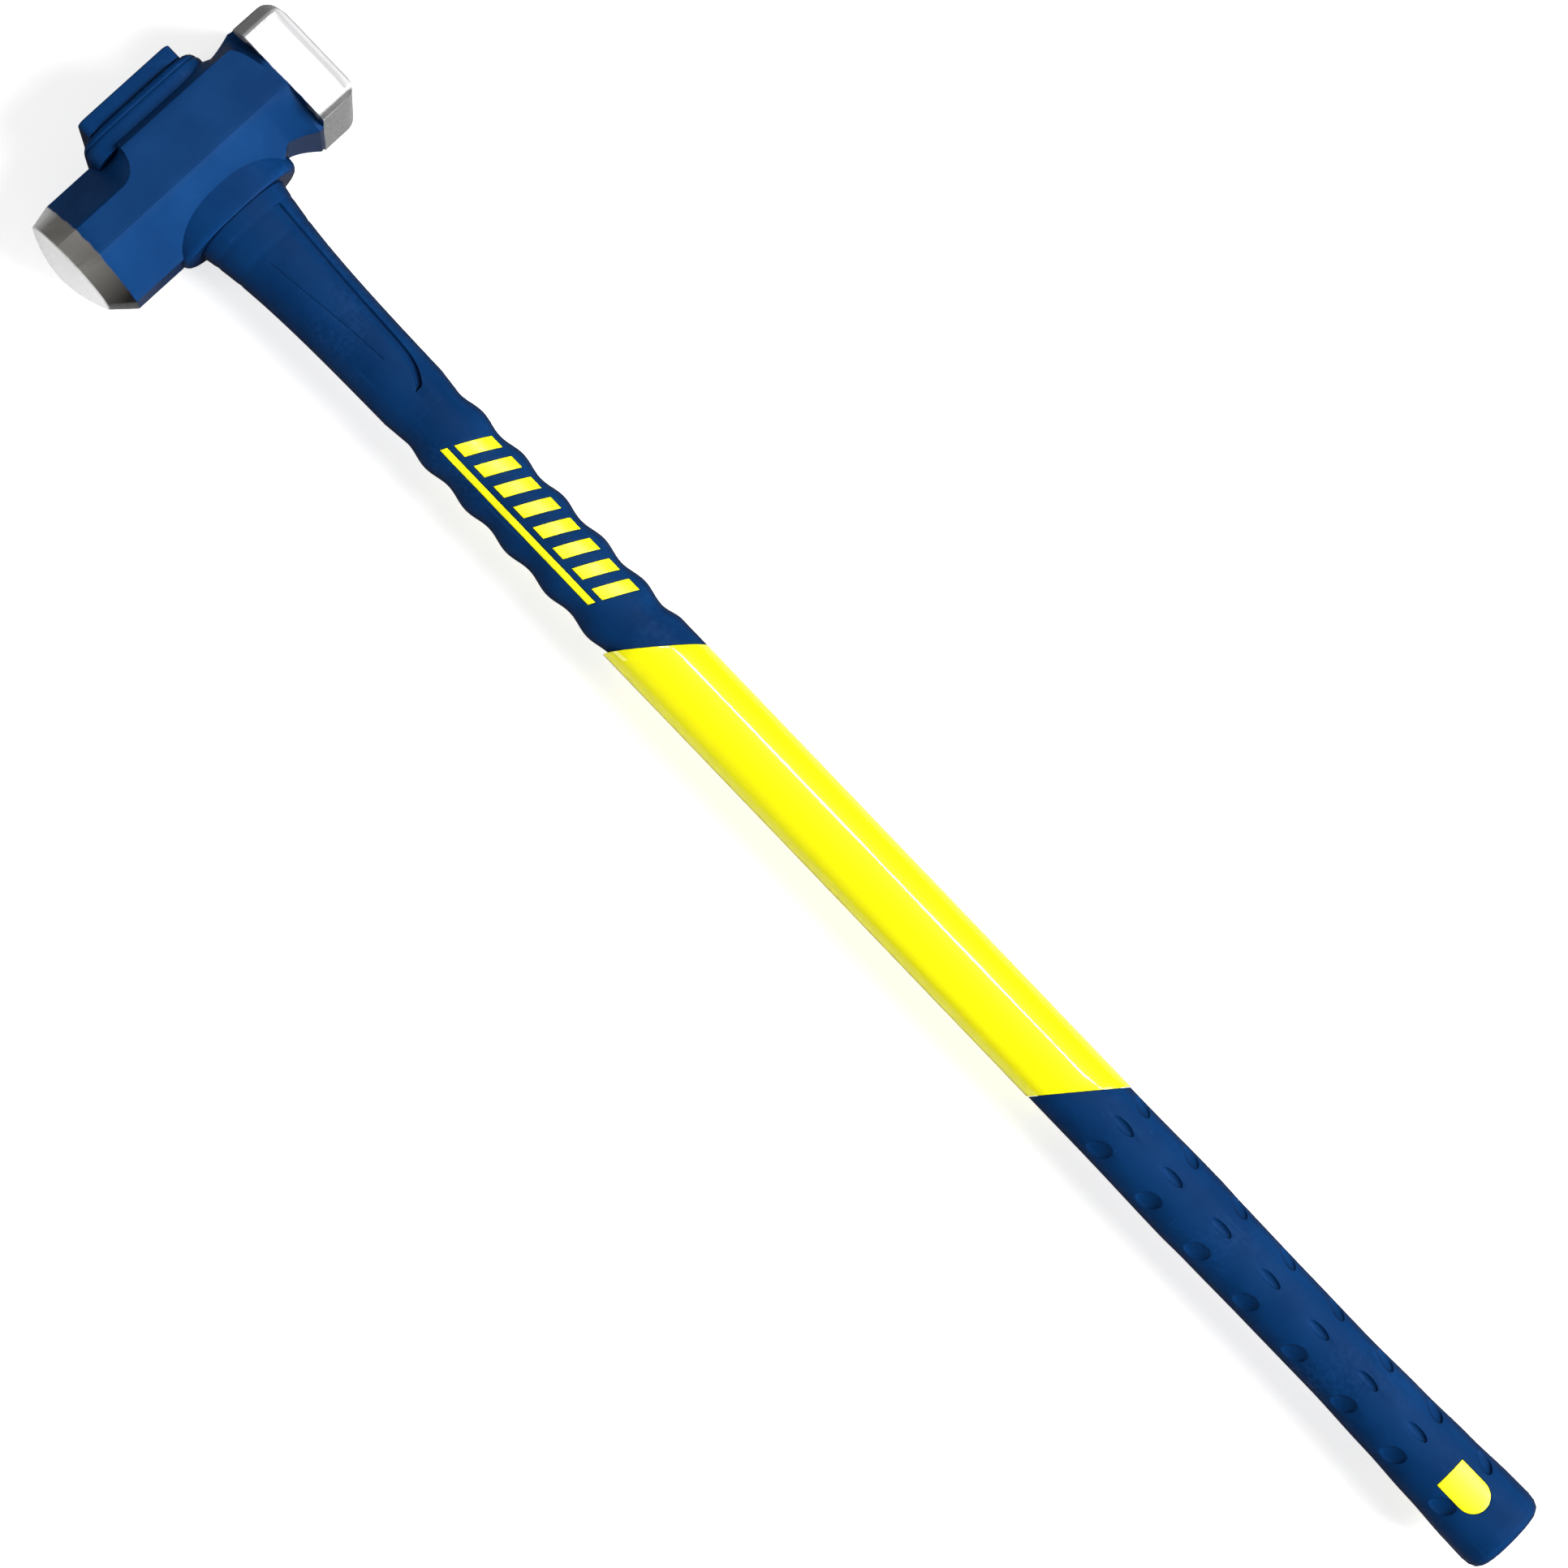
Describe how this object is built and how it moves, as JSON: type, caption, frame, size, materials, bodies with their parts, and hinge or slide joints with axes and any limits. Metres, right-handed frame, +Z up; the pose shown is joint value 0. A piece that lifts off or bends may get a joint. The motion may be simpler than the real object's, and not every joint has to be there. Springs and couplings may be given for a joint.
{
  "type": "sledgehammer",
  "caption": "Long-handled sledgehammer with a forged two-faced head, a fibreglass-cored yellow handle, a ridged neck sleeve and a dimpled butt grip.",
  "frame": {"origin": "middle of the box that holds the hammer lying on its side, at the level of the head's lower side flat", "axes": "+X along the handle from the head to the butt, +Y along the head towards the flared rim, +Z up out of the head's upper side flat"},
  "size_m": [0.9144, 0.158, 0.061],
  "materials": {
    "head_paint": "satin",
    "core_fibreglass": "satin",
    "jacket_yellow": "gloss",
    "epoxy": "gloss",
    "seal_rubber": "matte",
    "blue_rubber": "satin",
    "plug_plastic": "matte",
    "inlay_yellow": "satin"
  },
  "bodies": {
    "root": {"hammer_head": "head_paint", "core_rod": "core_fibreglass", "handle_jacket": "jacket_yellow", "eye_potting": "epoxy", "eye_seal": "seal_rubber", "eye_cap": "blue_rubber", "cap_gasket": "blue_rubber", "shock_collar": "blue_rubber", "neck_sleeve": "blue_rubber", "grip_sleeve": "blue_rubber", "butt_plug": "plug_plastic", "rail_front": "inlay_yellow", "badge_front": "inlay_yellow", "rail_back": "inlay_yellow", "badge_back": "inlay_yellow", "bar_front_1": "inlay_yellow", "bar_front_2": "inlay_yellow", "bar_front_3": "inlay_yellow", "bar_front_4": "inlay_yellow", "bar_front_5": "inlay_yellow", "bar_front_6": "inlay_yellow", "bar_front_7": "inlay_yellow", "bar_front_8": "inlay_yellow", "bar_back_1": "inlay_yellow", "bar_back_2": "inlay_yellow", "bar_back_3": "inlay_yellow", "bar_back_4": "inlay_yellow", "bar_back_5": "inlay_yellow", "bar_back_6": "inlay_yellow", "bar_back_7": "inlay_yellow", "bar_back_8": "inlay_yellow"}
  },
  "joints": []
}
